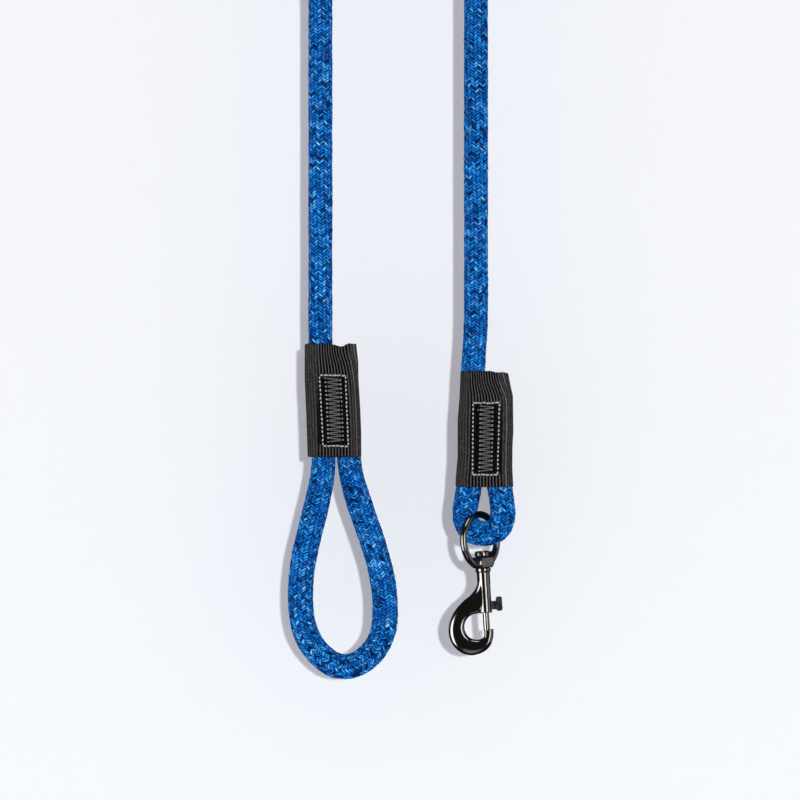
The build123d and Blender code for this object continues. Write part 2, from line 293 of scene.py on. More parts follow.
def thread_material(name, middle, end):
    """Twisted thread, coloured apart in the middle and at the ends of each float."""
    material, tree, surface = new_material(name)
    twist = add_node(tree, "TexWave", bands_direction="DIAGONAL",
                     inputs={"Scale": 900, "Distortion": 2.0, "Vector": object_coords(tree)})
    twist = twist.outputs["Fac"]
    # painted shade and highlight that follow the twist's bump
    twist_shade_and_highlight = colour_ramp(tree, twist, TWIST_SHADE_AND_HIGHLIGHT_STOPS)
    along = read_attribute(tree, "along")
    float_colour = colour_ramp(tree, along, [(0.0, end), (0.10, end), (0.24, middle),
                                             (0.76, middle), (0.90, end), (1.0, end)])
    finish_surface(tree, surface, roughness=0.6, specular=0.1,
                   colour=multiply_colours(tree, float_colour, twist_shade_and_highlight))
    add_bump(tree, surface, twist, strength=0.4, distance=0.00006)
    return material


def metal_material(name, dark, light, roughness):
    """Mottled metal, a little wavy."""
    material, tree, surface = new_material(name)
    coords = object_coords(tree)
    mottle = noise(tree, coords, scale=260, detail=5)
    colour = colour_ramp(tree, mottle, [(0.3, dark), (0.7, light)])
    tree.links.new(colour, surface.inputs["Base Color"])
    surface.inputs["Metallic"].default_value = 1.0
    uneven = add_node(tree, "MapRange", {"Value": mottle, "To Min": roughness * 0.75,
                                         "To Max": roughness * 1.35})
    tree.links.new(uneven.outputs[0], surface.inputs["Roughness"])
    waves = noise(tree, coords, scale=420)
    add_bump(tree, surface, waves, strength=0.10, distance=0.00018)
    return material


PALE_THREAD = (0.55, 0.55, 0.54)
mat_rope = rope_material()
mat_web = webbing_material()
mat_thread = thread_material("stitching_thread", middle=PALE_THREAD, end=PALE_THREAD)
mat_zigzag = thread_material("zigzag_thread", middle=(0.15, 0.15, 0.147), end=(0.46, 0.46, 0.45))
mat_gunmetal = metal_material("gunmetal_plating", dark=(0.115, 0.110, 0.106),
                              light=(0.150, 0.144, 0.139), roughness=0.11)
mat_bolt = metal_material("bright_rod", dark=(0.15, 0.145, 0.14),
                          light=(0.20, 0.194, 0.188), roughness=0.12)
mat_lever = metal_material("lever_plating", dark=(0.12, 0.115, 0.112),
                           light=(0.17, 0.165, 0.16), roughness=0.27)
mat_spring = metal_material("spring_wire", dark=(0.35, 0.35, 0.35),
                            light=(0.5, 0.5, 0.5), roughness=0.3)


# =====================================================================
# centreline of the rope, in the XZ plane
# =====================================================================
STRAND = 38.9       # X of the right straight strand; the left one mirrors it
BEND_Z = -32.9      # centre of the bend over the top

# (x, z) from the tail inside the handle's sleeve, round the hand loop and back up
HAND_LOOP = [
    (-25.7, -428), (-25.6, -450), (-25.0, -463), (-24.35, -469.15), (-23.6, -475.15),
    (-22.1, -481.15), (-18.35, -493.15), (-14.1, -505.15), (-10.35, -517.15), (-7.6, -529.15),
    (-6.5, -541.15), (-7.3, -553.15), (-10.6, -561.2), (-16.0, -567.3), (-21.5, -570.6),
    (-27.0, -571.6), (-33.0, -570.1), (-39.3, -565.3), (-44.4, -558.5), (-47.6, -550.0),
    (-48.85, -538.15), (-48.1, -523.15), (-45.85, -511.15), (-42.9, -499.15), (-40.0, -487.15),
    (-38.2, -478.15), (-37.3, -469.15), (-37.4, -460), (-38.2, -440), (-38.7, -420)]
LEFT_RUN = [(-STRAND, z) for z in (-405, -380, -350, -300, -220, -140, -80, -45)]
TOP_BEND = [(-STRAND * math.cos(angle), BEND_Z + STRAND * math.sin(angle))
            for angle in np.linspace(0, math.pi, 25)]
RIGHT_RUN = [(STRAND, z) for z in (-45, -80, -140, -220, -300, -363, -392)]
# (x, z) down through the snap's sleeve, round the eye and back up to its hidden tail
EYE_BOTTOM = (42.9, -505.0)
SNAP_EYE = [
    (38.6, -405), (37.6, -420), (37.2, -445), (36.6, -468), (35.7, -480), (34.4, -487.0),
    (33.4, -494.5), (34.2, -499.6), (37.0, -503.6), EYE_BOTTOM, (48.8, -503.6),
    (51.7, -499.6), (52.4, -494.5), (51.6, -487.0), (50.5, -480), (49.9, -468),
    (49.6, -450), (49.6, -440)]


def spaced_evenly(curve, step):
    run = path_length(curve)
    stations = np.linspace(0, run[-1], int(run[-1] / step) + 1)
    return np.c_[np.interp(stations, run, curve[:, 0]), np.interp(stations, run, curve[:, 1])]


def smooth_curve(points, step=0.35):
    """Centripetal Catmull-Rom curve through points, resampled to an even step."""
    points = np.array(points, float)
    points = np.vstack([2 * points[0] - points[1], points, 2 * points[-1] - points[-2]])
    pieces = []
    for i in range(1, len(points) - 2):
        p0, p1, p2, p3 = points[i - 1:i + 3]
        d01, d12, d23 = (max(np.linalg.norm(b - a), 1e-6) ** 0.5
                         for a, b in ((p0, p1), (p1, p2), (p2, p3)))
        slope1 = (p2 - p1) + d12 * ((p1 - p0) / d01 - (p2 - p0) / (d01 + d12))
        slope2 = (p2 - p1) + d12 * ((p3 - p2) / d23 - (p3 - p1) / (d12 + d23))
        count = max(4, int(np.linalg.norm(p2 - p1) / 0.25))
        t = np.linspace(0, 1, count, endpoint=False)[:, None]
        pieces.append((2 * t**3 - 3 * t**2 + 1) * p1 + (t**3 - 2 * t**2 + t) * slope1
                      + (-2 * t**3 + 3 * t**2) * p2 + (t**3 - t**2) * slope2)
    curve = spaced_evenly(np.vstack(pieces + [points[-2][None]]), step)
    # light smoothing, so that curvature changes gently
    for _ in range(60):
        curve[1:-1] = 0.25 * curve[:-2] + 0.5 * curve[1:-1] + 0.25 * curve[2:]
    return spaced_evenly(curve, step)


centreline = smooth_curve(HAND_LOOP + LEFT_RUN + TOP_BEND + RIGHT_RUN + SNAP_EYE)
centre_run = path_length(centreline)
centre_tangent = normalised(np.gradient(centreline, centre_run, axis=0))


def run_near(x, z, low=0.0, high=math.inf):
    """Arc length of the centreline point nearest (x, z), between two arc lengths."""
    distance = np.hypot(centreline[:, 0] - x, centreline[:, 1] - z)
    distance[(centre_run < low) | (centre_run > high)] = math.inf
    return centre_run[int(np.argmin(distance))]


def centre_at(run):
    """Place and unit tangent of the centreline at an arc length: x, z, tx, tz."""
    x, z = (np.interp(run, centre_run, centreline[:, i]) for i in (0, 1))
    tx, tz = (np.interp(run, centre_run, centre_tangent[:, i]) for i in (0, 1))
    length = np.hypot(tx, tz)
    return x, z, tx / length, tz / length


# =====================================================================
# the snap's own frame, shared by the rope eye's dent and the metal parts
# =====================================================================
SNAP_LEAN = math.radians(3.6)       # its upper end leans towards -X
SNAP_ORIGIN = np.array([41.5, 0.0, -508.3])
SNAP_RIGHT = np.array([math.cos(SNAP_LEAN), 0, math.sin(SNAP_LEAN)])
SNAP_UP = np.array([-math.sin(SNAP_LEAN), 0, math.cos(SNAP_LEAN)])
AWAY = np.array([0, 1, 0])

# wire ring pressed into the rope eye
DENT_TWIST = math.radians(52.0)
DENT_RING_R, DENT_WIRE_R = 12.9, 1.7


def turned_right(twist):
    """The snap's right-hand direction, turned away about its axis."""
    return SNAP_RIGHT * math.cos(twist) + AWAY * math.sin(twist)


def dent_line():
    angle = circle(360)[:, None]
    around = np.cos(angle) * turned_right(DENT_TWIST) + np.sin(angle) * SNAP_UP
    return SNAP_ORIGIN + DENT_RING_R * around


# =====================================================================
# braided rope: real relief, one strip of zigzag rows per column
# =====================================================================
COLUMNS = 18            # columns of floats round the rope
PITCH = 1.54            # length of rope per float
CLIMB = PITCH           # how far a row climbs or falls across a column
SUB = 4                 # mesh segments across a column
ROWS = 6                # mesh rows per float
ROPE_R = 5.95
RELIEF = 0.48           # height of a float
SEGMENTS = COLUMNS * SUB
ROW_STEP = PITCH / ROWS
PHASE_SHIFT = 0.13      # floats of neighbouring columns start this much apart, each way
BEND_START_Z = -460     # no bend effects above this height
# slow unevenness of a real braid: amplitude, frequency along and around, phase
UNEVEN_WAVES = [(0.05, 0.31, 0, 1.3), (0.04, 0.113, 0, 0.4), (0.035, 0.9, 2, 0),
                (0.03, 1.7, -3, 1)]


def hash01(value, seed):
    """Even, repeatable number between 0 and 1 for every whole number."""
    mixed = (value * 2654435761 + seed * 40503) & 0xFFFFFFFF
    mixed ^= mixed >> 15
    mixed = (mixed * 2246822519) & 0xFFFFFFFF
    mixed ^= mixed >> 13
    mixed = (mixed * 3266489917) & 0xFFFFFFFF
    mixed ^= mixed >> 16
    return mixed / 0xFFFFFFFF


def press_dent(verts, centres, wire):
    """Presses vertices away from a wire, mostly towards the rope's own middle, in place."""
    need = DENT_WIRE_R + 0.14
    soft = need + 1.0
    chunk = 4000        # keeps the table of distances small
    for start in range(0, len(verts), chunk):
        part = verts[start:start + chunk]
        offset = part[:, None, :] - wire[None, :, :]
        distance = np.linalg.norm(offset, axis=2)
        every = np.arange(len(part))
        nearest = distance.argmin(1)
        gap = distance[every, nearest]
        hit = gap < soft
        if not hit.any():
            continue
        gap = gap[hit]
        inward = normalised(centres[start:start + chunk][hit] - part[hit])
        away = offset[every, nearest][hit]
        away /= np.linalg.norm(away, axis=1)[:, None] + 1e-9
        closeness = np.clip((soft - gap) / (soft - need), 0, 1.0)
        push = np.where(gap < need, need - gap + 0.25, 0.25 * closeness**2)
        part[hit] += normalised(0.75 * inward + 0.45 * away) * push[:, None]


def yarn_shades(rows, column, lean):
    """Shade and tint of every face: which float and which ply it lies on."""
    phase = (rows[:-1] + 0.5) / ROWS + PHASE_SHIFT * lean
    column = np.broadcast_to(column, phase.shape)
    step = np.floor(phase).astype(int)
    ply = np.clip(((phase - step) * 2).astype(int), 0, 1)
    float_id = step.astype(np.int64) * 64 + column
    ply_id = float_id * 3 + ply
    # a yarn's colour often carries on across the next column
    pair_id = step.astype(np.int64) * 64 + (column + step % 2) // 2
    shade = 0.36 * hash01(float_id, 1) + 0.54 * hash01(ply_id, 4) + 0.10 * hash01(pair_id, 9)
    shade = np.clip(0.5 + 1.52 * (shade - 0.5), 0, 1)
    # carriers keep part of their colour from float to float
    carrier = np.where(column % 2 == 0, step - column // 2, step + column // 2)
    carrier_shade = hash01(carrier * 6 + ply + 3 * (column % 2), 2)
    return np.clip(0.88 * shade + 0.12 * carrier_shade, 0, 1), hash01(ply_id, 3)


def closed_tube(name, verts, row_count):
    """Mesh from rows of SEGMENTS vertices, with a fan closing each end."""
    index = np.arange(row_count * SEGMENTS).reshape(row_count, SEGMENTS)
    near, far = index[:-1], index[1:]
    quads = np.stack([near, np.roll(near, -1, 1), np.roll(far, -1, 1), far], -1).reshape(-1, 4)
    verts = verts * MM
    verts = np.vstack([verts, verts[:SEGMENTS].mean(0), verts[-SEGMENTS:].mean(0)])
    first_hub, last_hub = len(verts) - 2, len(verts) - 1
    fans = []
    for i in range(SEGMENTS):
        following = (i + 1) % SEGMENTS
        fans.append((index[0][following], index[0][i], first_hub))
        fans.append((index[-1][i], index[-1][following], last_hub))
    mesh = bpy.data.meshes.new(name)
    mesh.vertices.add(len(verts))
    mesh.vertices.foreach_set("co", verts.astype(np.float32).ravel())
    corners = np.concatenate([quads.ravel(), np.array(fans, dtype=np.int64).ravel()])
    starts = np.concatenate([np.arange(len(quads)) * 4,
                             len(quads) * 4 + 3 * np.arange(len(fans))])
    mesh.loops.add(len(corners))
    mesh.loops.foreach_set("vertex_index", corners.astype(np.int32))
    mesh.polygons.add(len(starts))
    mesh.polygons.foreach_set("loop_start", starts.astype(np.int32))
    mesh.update(calc_edges=True)
    mesh.validate()
    make_smooth(mesh)
    return mesh, len(fans)


def braid(name, start, end, wire=None):
    """Closed piece of rope between two arc lengths, as interlaced floats."""
    rows = np.arange(int(round(start / ROW_STEP)), int(round(end / ROW_STEP)) + 1)[:, None]
    segment = np.arange(SEGMENTS)
    column = segment // SUB
    across = (segment % SUB) / SUB
    rising = column % 2 == 0
    lean = np.where(rising, 1.0, -1.0)
    # rows climb across one column and fall across the next
    run = rows * ROW_STEP + np.where(rising, across, 1 - across) * CLIMB
    # a bend draws neighbouring carriers past each other
    z = centre_at(run)[1]
    bent = smooth01((-468 - z) / 14) * (z < BEND_START_Z)
    lane = np.floor((column + 1) / 2)
    run = run + ((0.08 + 0.34 * bent) * np.sin(0.013 * rows + 2.4 * lane)
                 * np.cos(0.031 * rows - 1.1 * lane))

    # height profile across the float this vertex lies on
    phase = rows / ROWS + PHASE_SHIFT * lean
    t = phase - np.floor(phase)
    crown = np.sin(math.pi * t) ** 0.9
    # the two plies of each float leave a shallow groove between them
    ply_groove = 0.16 * np.exp(-((t - 0.5) / 0.10) ** 2)
    float_ends = np.sin(math.pi * across) ** 0.45
    # no two floats stand equally proud
    proud = 0.78 + 0.34 * hash01(np.floor(phase).astype(np.int64) * 64 + column, 5)
    height = RELIEF * (crown - ply_groove) * float_ends * proud
    # at a column boundary the float of either side overlaps in turn
    boundary = segment % SUB == 0
    height = np.where(boundary, RELIEF * 0.55 * (crown - 0.1), height)
    overlap = np.where(boundary, 0.12 * lean * np.cos(2 * math.pi * phase), 0.0)

    angle = 2 * math.pi * ((column + across) + overlap) / COLUMNS + 0.13
    uneven = sum(amplitude * np.sin(along * run + around * angle + offset)
                 for amplitude, along, around, offset in UNEVEN_WAVES)
    x, z, tx, tz = centre_at(run)
    # the rope fills out a little where it is bent
    fullness = 1 + 0.055 * smooth01((-472 - z) / 14) * (z < BEND_START_Z)
    radius = (ROPE_R - RELIEF * 0.55 + height + uneven) * fullness
    # a slow twist of the braid about the rope
    twisted = (angle + 0.0035 * (run - 300) + 0.045 * np.sin(0.11 * run + 1.0)
               + 0.05 * bent * np.sin(0.47 * run + 3 * angle))
    verts = np.stack([x - radius * np.cos(twisted) * tz,
                      radius * np.sin(twisted),
                      z + radius * np.cos(twisted) * tx], -1).reshape(-1, 3)
    if wire is not None:
        press_dent(verts, np.stack([x, np.zeros_like(x), z], -1).reshape(-1, 3), wire)

    mesh, fan_count = closed_tube(name, verts, len(rows))
    shade, tint = yarn_shades(rows, column, lean)
    for key, values, end_value in (("shade", shade, 0.1), ("tint", tint, 0.5)):
        values = np.r_[values.ravel(), np.full(fan_count, end_value)]
        add_attribute(mesh, key, "FACE", values)
    # float height, with the ply grooves pressed lower: drives the painted groove shade and the
    # painted float highlight
    depth = np.clip(height / RELIEF - 0.5 * ply_groove, 0, 1)
    for key, values in (("depth", depth), ("rise", rows / ROWS), ("run", column + across)):
        values = np.broadcast_to(values, run.shape).ravel()
        add_attribute(mesh, key, "POINT", np.r_[values, np.zeros(2)])
    ob = link_object(name, mesh)
    set_material(ob, mat_rope)
    return ob


# arc lengths where the rope is divided
run_tail = run_near(-25.6, -452, 0, 60)
run_left_in = run_near(-38.6, -452, 150, 400)
run_left_top_in = run_near(-38.8, -418, 150, 500)
run_left_cut = run_near(-STRAND, -298, 200, 900)
run_top = run_near(0, BEND_Z + STRAND)
run_right_cut = run_near(STRAND, -311, run_top)
run_eye_bottom = run_near(*EYE_BOTTOM)
run_right_in = run_near(37.6, -431, run_top, run_eye_bottom)
run_eye_in = run_near(36.6, -466, run_top, run_eye_bottom)
run_eye_out = run_near(49.9, -466, run_eye_bottom)
run_left_upper = run_near(-STRAND, -120, run_left_cut, run_top)
run_right_upper = run_near(STRAND, -120, run_top, run_right_cut)

rope_loop = braid("rope_hand_loop", run_tail, run_left_in)
rope_left = braid("rope_left_strand", run_left_top_in, run_left_cut)
lead_pieces = [
    braid("rope_top_left", run_left_upper, run_top),
    braid("rope_top_right", run_top, run_right_upper),
    braid("rope_left_length", run_left_cut, run_left_upper),
    braid("rope_right_length", run_right_upper, run_right_cut)]
rope_right = braid("rope_right_strand", run_right_cut, run_right_in)
rope_eye = braid("rope_snap_eye", run_eye_in, run_eye_out, wire=dent_line())

for piece in lead_pieces:
    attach(piece, "lead")
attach(rope_eye, "snap_end")
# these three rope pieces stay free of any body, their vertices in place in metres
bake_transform(rope_left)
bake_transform(rope_right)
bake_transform(rope_loop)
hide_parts("rope_cover_loop", "rope_core_loop")
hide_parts("rope_cover_handle", "rope_core_handle",
            "rope_cover_tail", "rope_core_tail")
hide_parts("rope_cover_lead", "rope_core_lead")
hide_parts("rope_cover_eye", "rope_core_eye")


# =====================================================================
# webbing sleeves
# =====================================================================
WEB = 1.15              # thickness of the webbing
SLEEVE_HALF_DEPTH = 7.15
RIB_HEIGHT = 0.56
RIB_POINTS = 6          # mesh points per rib
SLEEVE_ROWS = 62
SWAY = -1.2             # sideways wander of the ribs near the upper end
SEAM_PULL, SEAM_WIDTH = 0.30, 0.7   # how far and how widely a stitched row pulls in


@dataclass
class Seam:
    """Two upright lines of stitching: x at top and bottom of each, and their heights."""
    left: tuple
    right: tuple
    top: float
    bottom: float

    def x_at(self, side, fraction):
        """X of a side at a fraction of the way down."""
        return side[0] + (side[1] - side[0]) * fraction

    def z_at(self, fraction):
        return self.top + (self.bottom - self.top) * fraction

    def band(self, z):
        """1 between the seam's top and bottom, fading to 0 at both."""
        return smooth01((self.top - z) / 1.5) * smooth01((z - self.bottom) / 1.5)


@dataclass
class Sleeve:
    """Ribbed webbing wrapped round two rope legs."""
    name: str           # also the first part of its CAD pieces' and its body's names
    ribs: int
    top: float
    bottom: float
    left: list          # (z, x) of the left edge, downwards
    right: list         # (z, x) of the right edge, downwards
    seam_x: float       # middle of the valley between the legs
    cave: tuple         # depth, lowest z and full-depth z of the caved-in upper right
    dip: tuple          # upper and lower z of the deeper part of the valley
    top_wave: Callable  # rise of the upper rim at x, y
    box: Seam
    zigzag: Seam

    def edges(self, z):
        return [np.interp(-z, [-height for height, _ in side], [x for _, x in side])
                for side in (self.left, self.right)]

    def section(self, z, count):
        """Even points round the outline at height z, from the right edge by the back."""
        left, right = self.edges(z)
        angle = circle(1440)
        half, middle = (right - left) / 2, (right + left) / 2
        flat = max(half - SLEEVE_HALF_DEPTH, 0.5)
        side = np.where(np.cos(angle) >= 0, 1, -1)
        x = (middle + side * flat * smooth01(np.abs(np.cos(angle)) * 1.9)
             + SLEEVE_HALF_DEPTH * np.cos(angle))
        x = left + (x - x.min()) * (right - left) / (x.max() - x.min())
        y = SLEEVE_HALF_DEPTH * np.sin(angle)
        # legs stand proud, the stitched valley between them sinks
        dip_top, dip_bottom = self.dip
        dip = 0.13 + 0.16 * smooth01((dip_top - z) / 6) * smooth01((z - dip_bottom) / 5)
        y = y * (1 - dip * np.exp(-((x - self.seam_x) / (half * 0.36)) ** 2))
        # the caved-in top corner, where the rope's tail doesn't reach
        depth, cave_foot, cave_head = self.cave
        cave = depth * smooth01((z - cave_foot) / (cave_head - cave_foot))
        y = y * (1 - cave * smooth01(((x - middle) / half + 0.05) / 0.75))
        outline = np.c_[x, y]
        outline = np.vstack([outline, outline[:1]])
        run = path_length(outline)
        stations = np.linspace(0, run[-1], count, endpoint=False)
        return (np.interp(stations, run, outline[:, 0]),
                np.interp(stations, run, outline[:, 1]))

    def face_y(self, x, z, front):
        """Y of the front (-Y) or back surface at x, z, without ribs."""
        outline_x, outline_y = self.section(z, 720)
        face = outline_y < 0 if front else outline_y > 0
        order = np.argsort(outline_x[face])
        return float(np.interp(x, outline_x[face][order], outline_y[face][order]))


def handle_wave(x, y):
    """Upper rim of the handle's sleeve: a sag right of the middle and fine ripples."""
    sag = -1.5 * np.exp(-((x + 28.1) / 2.6) ** 2)
    ripple = np.where(y < 0, 0.1 * np.sin((x + 40) * 4.05), -0.35)
    return sag + 0.22 * np.sin((x + 40) * 1.3) + ripple


def snap_wave(x, y):
    """Upper rim of the snap's sleeve: slants down to the right, with fine ripples."""
    slant = -0.9 * smooth01((x - 44) / 11)
    ripple = np.where(y < 0, 0.1 * np.sin(x * 4.05), -0.35)
    return slant + 0.2 * np.sin(x * 1.1) + ripple


handle_sleeve = Sleeve(
    name="handle", ribs=44, top=-410.15, bottom=-466.4,
    left=[(-409.65, -46.6), (-428.15, -46.6), (-438.15, -46.1), (-452.15, -45.6),
          (-466.65, -45.1)],
    right=[(-409.65, -21.0), (-414.15, -20.6), (-419.15, -20.1), (-428.15, -20.0),
           (-443.15, -19.1), (-453.15, -18.7), (-466.65, -18.6)],
    seam_x=-32.1, cave=(0.62, -432.15, -412.15), dip=(-424.15, -464.15),
    top_wave=handle_wave,
    box=Seam(left=(-39.25, -37.45), right=(-26.3, -24.95), top=-425.9, bottom=-461.15),
    zigzag=Seam(left=(-37.6, -36.05), right=(-27.7, -26.6), top=-427.15, bottom=-459.15))
snap_sleeve = Sleeve(
    name="snap", ribs=45, top=-423.9, bottom=-481.4,
    left=[(-423.15, 31.4), (-436.15, 30.9), (-448.15, 29.9), (-466.15, 29.9),
          (-478.15, 28.9), (-481.65, 28.9)],
    right=[(-423.65, 54.9), (-425.15, 55.3), (-430.15, 55.9), (-436.15, 57.2),
           (-454.15, 57.4), (-460.65, 57.0), (-472.15, 56.9), (-481.65, 57.4)],
    seam_x=43.3, cave=(0.66, -442.15, -425.15), dip=(-437.65, -478.15),
    top_wave=snap_wave,
    box=Seam(left=(37.35, 37.1), right=(50.5, 49.6), top=-439.65, bottom=-475.5),
    zigzag=Seam(left=(39.25, 38.95), right=(48.9, 48.35), top=-440.9, bottom=-473.9))


def rib_look(sleeve, z, x, crest):
    """Relief and colour of the ribs: bunched over the valley, drawn flat over the legs."""
    left, right = sleeve.edges(z)
    from_seam = np.abs(x - sleeve.seam_x) / ((right - left) / 2)
    flat = smooth01((from_seam - 0.52) / 0.16)
    relief = crest ** 0.8 * (1 - 0.62 * flat)
    rib = np.arange(len(x)) // RIB_POINTS
    # painted highlight: some ribs show as paler lines where they lie flat
    painted_rib_highlights = ((np.sin(rib * 2.4 + 0.6) > 0.55) * crest ** 2 * 0.30
                  * smooth01((0.92 - from_seam) / 0.1))
    # painted light: over the valley the colour falls steeply from crest to groove, painted shade
    # between the ribs; over the legs it is lifted paler, painted light on the shoulders
    colour = ((1 - flat) * crest ** 1.9 * 1.08
              + flat * (0.67 + 0.20 * (crest - 0.5) + painted_rib_highlights))
    # painted shade: darker inside the stitched box, where the webbing sinks between the legs
    box = sleeve.box
    painted_box_shade = (box.band(z) * smooth01((x - box.left[0] + 1.5) / 1.5)
              * smooth01((box.right[0] + 1.5 - x) / 1.5))
    return relief, colour * (1 - 0.62 * painted_box_shade)


def sleeve_ring(sleeve, z, crest, outer):
    """One ring of vertices on the outer or inner face, and its rib colour."""
    x, y = sleeve.section(z, len(crest))
    dx, dy = np.roll(x, -1) - np.roll(x, 1), np.roll(y, -1) - np.roll(y, 1)
    length = np.hypot(dx, dy) + 1e-9
    normal_x, normal_y = dy / length, -dx / length
    relief, colour = rib_look(sleeve, z, x, crest)
    # stitched rows pull the webbing in
    box = sleeve.box
    down = (box.top - z) / (box.top - box.bottom)
    pull = sum(SEAM_PULL * box.band(z) * np.exp(-((x - box.x_at(side, down)) / SEAM_WIDTH) ** 2)
               for side in (box.left, box.right))
    lift = RIB_HEIGHT * relief - pull if outer else -WEB - pull * 0.4
    wrinkle = 0.10 * np.sin(0.42 * z + 0.7 * x) + 0.06 * np.sin(0.9 * z - 1.1 * x + 2)
    # the ribs of the front wander sideways towards the upper end
    sway = (SWAY * smooth01((z - (sleeve.top - 13)) / 10)
            * np.exp(-((x - sleeve.seam_x - 1.5) / 5.5) ** 2) * (y < 0))
    rim = sleeve.top_wave(x, y) * smooth01((z - (sleeve.top - 7)) / 7)
    verts = np.c_[x + normal_x * lift + sway,
                  y + normal_y * lift + wrinkle * np.sign(y) * 0.6,
                  z + rim]
    return verts, colour


def build_sleeve(sleeve):
    count = sleeve.ribs * RIB_POINTS
    crest = 0.5 - 0.5 * np.cos(2 * math.pi * (np.arange(count) % RIB_POINTS) / RIB_POINTS)
    hidden_rib = crest ** 0.55      # colour of the rims and the inner face, before dimming
    heights = np.linspace(sleeve.top, sleeve.bottom, SLEEVE_ROWS)
    verts, rib, weft = [], [], []

    def add_ring(ring, colour, weft_phase):
        verts.append(ring)
        rib.append(colour)
        weft.append(np.full(count, weft_phase))

    def add_rim(z, bulge):
        """Rolled rim, halfway between the outer and the inner face."""
        outer, inner = (sleeve_ring(sleeve, z, crest, face)[0] for face in (True, False))
        add_ring(0.5 * (outer + inner) + np.array([0, 0, bulge]), hidden_rib * 0.6, 0.0)

    picks = 9.0         # weft phase per mm of height
    for z in heights:
        add_ring(*sleeve_ring(sleeve, z, crest, outer=True), z * picks)
    add_rim(heights[-1], -0.28)
    for z in heights[::-1][::3]:
        inner, _ = sleeve_ring(sleeve, z, crest, outer=False)
        # the inner face is dimmed much further: painted shade inside the sleeve
        add_ring(inner, hidden_rib * 0.15, z * picks)
    add_rim(heights[0], 0.28)

    index = np.arange(len(verts) * count).reshape(len(verts), count)
    below = np.roll(index, -1, 0)
    quads = np.stack([index, below, np.roll(below, -1, 1), np.roll(index, -1, 1)], -1)
    ob = mesh_object("sleeve_" + sleeve.name, np.array(verts).reshape(-1, 3),
                     quads.reshape(-1, 4).tolist(), mat_web)
    add_attribute(ob.data, "rib", "POINT", rib)
    add_attribute(ob.data, "weft", "POINT", weft)
    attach(ob, sleeve.name + "_end")
    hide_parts(sleeve.name + "_sleeve")


for sleeve in (handle_sleeve, snap_sleeve):
    build_sleeve(sleeve)


# =====================================================================
# stitches
# =====================================================================
THREAD_SIDES = 7
BOX_STITCHES = 17       # down each side of the box
BOX_END_STITCHES = 6    # across its top and bottom
BOX_PROUD = 0.22
ZIGZAG_TEETH = 15
ZIGZAG_PROUD = 0.34
# radius of the thread in each seam
BOX_THREAD_R, ZIGZAG_THREAD_R, BACK_THREAD_R = 0.40, 0.31, 0.24


def thread_tubes(name, paths, radius, material):
    """Round threads along the given paths, one closed tube each."""
    verts, faces, along = [], [], []
    sides = THREAD_SIDES
    for path in paths:
        points = np.array(path, float)
        run = path_length(points)
        along += np.repeat(run / run[-1], sides).tolist()
        tangents = normalised(np.gradient(points, axis=0))
        base = len(verts)
        last = len(points) - 1
        for i, (point, tangent) in enumerate(zip(points, tangents)):
            first = np.cross(tangent, np.array([0, 1.0, 0]))
            first /= np.linalg.norm(first) + 1e-9
            second = np.cross(tangent, first)
            ring_r = radius * (1.0 if 0 < i < last else 0.55)
            for k in range(sides):
                angle = 2 * math.pi * k / sides
                verts.append(point + ring_r * (math.cos(angle) * first
                                               + math.sin(angle) * second))
        for i in range(last):
            here, there = base + i * sides, base + (i + 1) * sides
            for k in range(sides):
                following = (k + 1) % sides
                faces.append((here + k, here + following, there + following, there + k))
        faces.append(tuple(base + k for k in range(sides))[::-1])
        faces.append(tuple(base + last * sides + k for k in range(sides)))
    ob = mesh_object(name, verts, faces, material)
    add_attribute(ob.data, "along", "POINT", along)
    return ob


def stitch(sleeve, x0, z0, x1, z1, front, proud):
    """One float of thread, sinking into the webbing at both ends."""
    stations = [(0.0, -0.45), (0.10, 0.02), (0.30, proud), (0.5, proud + 0.06),
                (0.70, proud), (0.90, 0.02), (1.0, -0.45)]     # (fraction, lift)
    path = []
    for fraction, lift in stations:
        x, z = x0 + (x1 - x0) * fraction, z0 + (z1 - z0) * fraction
        path.append((x, sleeve.face_y(x, z, front) + (-lift if front else lift), z))
    return path


def box_paths(sleeve, front):
    """Short stitches down both sides of the box, then longer ones across top and bottom."""
    box = sleeve.box
    paths = []
    for side in (box.left, box.right):
        for i in range(BOX_STITCHES):
            start = (i + 0.28 + rng.uniform(-0.05, 0.05)) / BOX_STITCHES
            end = (i + 0.72 + rng.uniform(-0.05, 0.05)) / BOX_STITCHES
            shift = rng.uniform(-0.14, 0.14, 2)
            paths.append(stitch(sleeve, box.x_at(side, start) + shift[0], box.z_at(start),
                                box.x_at(side, end) + shift[1], box.z_at(end),
                                front, BOX_PROUD))
    for row, z in ((0, box.top), (1, box.bottom)):
        left, right = box.left[row], box.right[row]
        for i in range(BOX_END_STITCHES):
            start, end = (i + 0.02) / BOX_END_STITCHES, (i + 0.98) / BOX_END_STITCHES
            paths.append(stitch(sleeve,
                                left + (right - left) * start, z + rng.uniform(-0.25, 0.25),
                                left + (right - left) * end, z + rng.uniform(-0.25, 0.25),
                                front, BOX_PROUD))
    return paths


def zigzag_paths(sleeve, front):
    """Stitches that cross from side to side on the way down."""
    seam = sleeve.zigzag
    count = 2 * ZIGZAG_TEETH

    def turn(i):
        side = seam.left if i % 2 == 0 else seam.right
        return seam.x_at(side, i / count) + rng.uniform(-0.1, 0.1), seam.z_at(i / count)

    return [stitch(sleeve, *turn(i), *turn(i + 1), front, ZIGZAG_PROUD) for i in range(count)]


